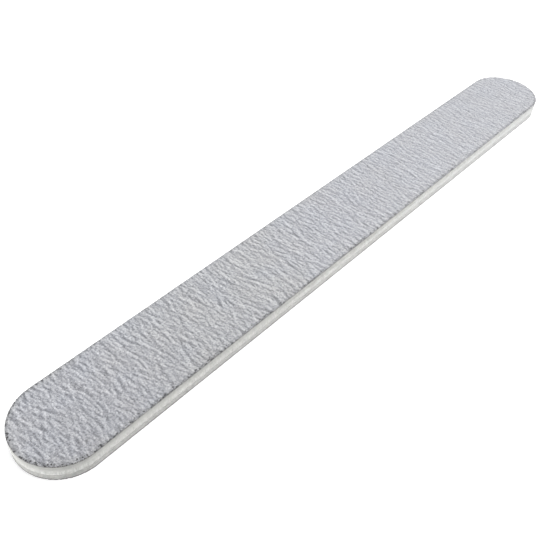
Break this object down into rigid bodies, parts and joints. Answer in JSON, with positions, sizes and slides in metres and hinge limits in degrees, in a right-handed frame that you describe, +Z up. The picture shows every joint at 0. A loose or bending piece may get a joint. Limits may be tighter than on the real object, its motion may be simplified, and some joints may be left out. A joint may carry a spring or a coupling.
{
  "type": "emery board",
  "caption": "Straight cushioned emery board with round ends: a rigid core between foam pads, faced on both sides with rippled grey abrasive sheet.",
  "frame": {"origin": "middle of the lower abrasive face, which the board rests on", "axes": "+X along the board, +Y across it, +Z up through the layers from the lower abrasive face to the upper one"},
  "size_m": [0.1778, 0.019, 0.0044],
  "materials": {
    "core_plastic": "satin",
    "glue_film": "satin",
    "foam": "matte",
    "backing_paper": "matte",
    "resin": "satin",
    "grit": "matte"
  },
  "bodies": {
    "root": {"core_board": "core_plastic", "upper_core_glue": "glue_film", "lower_core_glue": "glue_film", "upper_foam_pad": "foam", "lower_foam_pad": "foam", "upper_sheet_glue": "glue_film", "lower_sheet_glue": "glue_film", "upper_backing_paper": "backing_paper", "lower_backing_paper": "backing_paper", "upper_resin_coat": "resin", "lower_resin_coat": "resin", "upper_grit_coat": "grit", "lower_grit_coat": "grit"}
  },
  "joints": []
}
